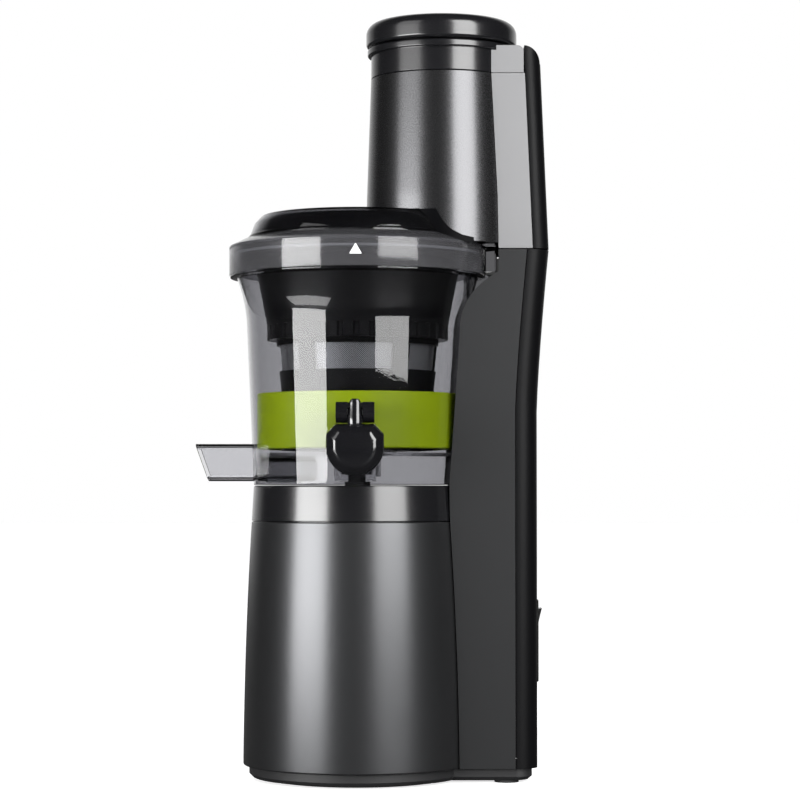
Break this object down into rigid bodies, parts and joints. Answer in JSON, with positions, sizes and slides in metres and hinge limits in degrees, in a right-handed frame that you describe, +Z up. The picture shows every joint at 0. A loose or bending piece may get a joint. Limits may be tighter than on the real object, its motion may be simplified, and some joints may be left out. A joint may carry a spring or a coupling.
{
  "type": "cold press juicer",
  "caption": "Upright slow juicer: motor base with spine, clear smoked bowl with strainer and auger, pulp chute, juice spout with flip cap, and feed tower with pusher.",
  "frame": {"origin": "on the floor, under the common axis of the motor, bowl and auger, at the centre of the rubber foot ring", "axes": "+Z up along the auger's axis, +X towards the spine and the power switch, -X towards the pulp chute, -Y towards the juice spout"},
  "size_m": [0.2045, 0.1701, 0.441],
  "materials": {
    "foot_rubber": "matt black rubber",
    "black_plastic": "fine matt black",
    "zinc_steel": "bright zinc",
    "metallic_housing": "satin gunmetal",
    "gloss_black": "piano black",
    "spine_grey": "satin charcoal",
    "back_dark": "satin near black",
    "board_green": "circuit board",
    "board_parts": "moulded components",
    "motor_steel": "zinc plated sheet",
    "winding_copper": "enamelled copper",
    "bush_brass": "sintered bronze",
    "cast_case": "die cast",
    "shaft_steel": "ground steel",
    "seal_silicone": "translucent silicone",
    "gear_nylon": "natural nylon",
    "clear_smoke": "smoked clear copolyester",
    "lid_smoke": "darker smoked clear copolyester",
    "strainer_black": "satin black",
    "mesh_steel": "etched fine mesh",
    "auger_black": "satin black",
    "wiper_green": "translucent lime green",
    "mark_white": "printed white",
    "metallic_tower": "satin gunmetal",
    "metallic_side": "satin light gunmetal",
    "magnet_steel": "nickel plated",
    "cap_black": "satin black"
  },
  "bodies": {
    "base": {"foot_ring": "foot_rubber", "rear_feet": "foot_rubber", "base_plate": "black_plastic", "base_screws": "zinc_steel", "base_housing": "metallic_housing", "base_collar": "gloss_black", "spine_shell": "spine_grey", "spine_back_cover": "back_dark", "switch_bezel": "gloss_black", "cord_gland": "foot_rubber", "control_board": "board_green", "board_parts": "board_parts", "interlock_sensor": "black_plastic", "motor_can": "motor_steel", "motor_windings": "winding_copper", "motor_bushes": "bush_brass", "gearbox_case": "cast_case", "gearbox_cover": "cast_case", "gearbox_screws": "zinc_steel", "layshaft_pin": "shaft_steel", "output_bearing": "shaft_steel", "deck_bush": "bush_brass", "shaft_seal": "seal_silicone"},
    "rocker": {"power_rocker": "gloss_black"},
    "motor_rotor": {"motor_rotor": "shaft_steel", "motor_pinion": "shaft_steel", "cooling_fan": "black_plastic"},
    "layshaft": {"layshaft_gears": "gear_nylon"},
    "drive": {"drive_shaft": "shaft_steel", "output_gear": "gear_nylon"},
    "bowl": {"bowl_shell": "clear_smoke", "bowl_floor": "clear_smoke", "pulp_chute": "clear_smoke", "juice_spout": "clear_smoke", "bowl_seal": "seal_silicone", "pulp_plug": "seal_silicone", "strainer_frame": "strainer_black", "strainer_mesh": "mesh_steel", "spout_hinge_block": "gloss_black", "spout_hinge_pin": "shaft_steel"},
    "spout_cap": {"spout_cap": "gloss_black", "spout_cap_pad": "seal_silicone"},
    "auger": {"auger": "auger_black", "auger_hub": "shaft_steel"},
    "wiper": {"wiper_ring": "wiper_green", "wiper_blades": "seal_silicone"},
    "wiper_pinion": {"wiper_pinion": "gear_nylon"},
    "lid": {"lid_shell": "lid_smoke", "lid_inner_cover": "strainer_black", "lid_seal": "seal_silicone", "alignment_mark": "mark_white", "feed_tower": "metallic_tower", "feed_liner": "black_plastic", "tower_collar": "gloss_black", "hopper_side": "metallic_side", "hopper_cap": "metallic_side", "hopper_back_cover": "back_dark", "interlock_magnet": "magnet_steel"},
    "pusher": {"pusher_cap": "cap_black", "pusher_tube": "black_plastic"}
  },
  "joints": [
    {"name": "power_switch", "type": "hinge", "parent": "base", "child": "rocker", "pos_m": [0.1002, 0, 0.08], "axis": [0, -1, 0], "range_deg": [0, 14]},
    {"name": "drive_spin", "type": "hinge", "parent": "base", "child": "drive", "pos_m": [0, 0, 0.16], "axis": [0, 0, 1], "continuous": true},
    {"name": "motor_spin", "type": "hinge", "parent": "base", "child": "motor_rotor", "pos_m": [0, 0, 0.06], "axis": [0, 0, 1], "continuous": true},
    {"name": "layshaft_spin", "type": "hinge", "parent": "base", "child": "layshaft", "pos_m": [-0.03, 0, 0.11], "axis": [0, 0, 1], "continuous": true},
    {"name": "bowl_lift", "type": "slide", "parent": "base", "child": "bowl", "axis": [0, 0, 1], "range_m": [0, 0.06]},
    {"name": "spout_cap_flip", "type": "hinge", "parent": "bowl", "child": "spout_cap", "pos_m": [0, -0.084, 0.2103], "axis": [-1, 0, 0], "range_deg": [0, 100]},
    {"name": "auger_spin", "type": "hinge", "parent": "bowl", "child": "auger", "pos_m": [0, 0, 0.2], "axis": [0, 0, 1], "continuous": true},
    {"name": "wiper_spin", "type": "hinge", "parent": "bowl", "child": "wiper", "pos_m": [0, 0, 0.2], "axis": [0, 0, 1], "continuous": true},
    {"name": "wiper_pinion_spin", "type": "hinge", "parent": "bowl", "child": "wiper_pinion", "pos_m": [-0.03399, 0.02852, 0.19], "axis": [0, 0, 1], "continuous": true},
    {"name": "lid_turn", "type": "hinge", "parent": "bowl", "child": "lid", "pos_m": [0, 0, 0.3], "axis": [0, 0, 1], "range_deg": [-38, 0]},
    {"name": "pusher_slide", "type": "slide", "parent": "lid", "child": "pusher", "axis": [0, 0, 1], "range_m": [0, 0.11]}
  ],
  "couplings": [
    {"joint": "motor_spin", "follows": "drive_spin", "ratio": 16},
    {"joint": "layshaft_spin", "follows": "drive_spin", "ratio": -4},
    {"joint": "auger_spin", "follows": "drive_spin", "ratio": 1},
    {"joint": "wiper_spin", "follows": "drive_spin", "ratio": -0.73171},
    {"joint": "wiper_pinion_spin", "follows": "drive_spin", "ratio": -5.4545}
  ]
}
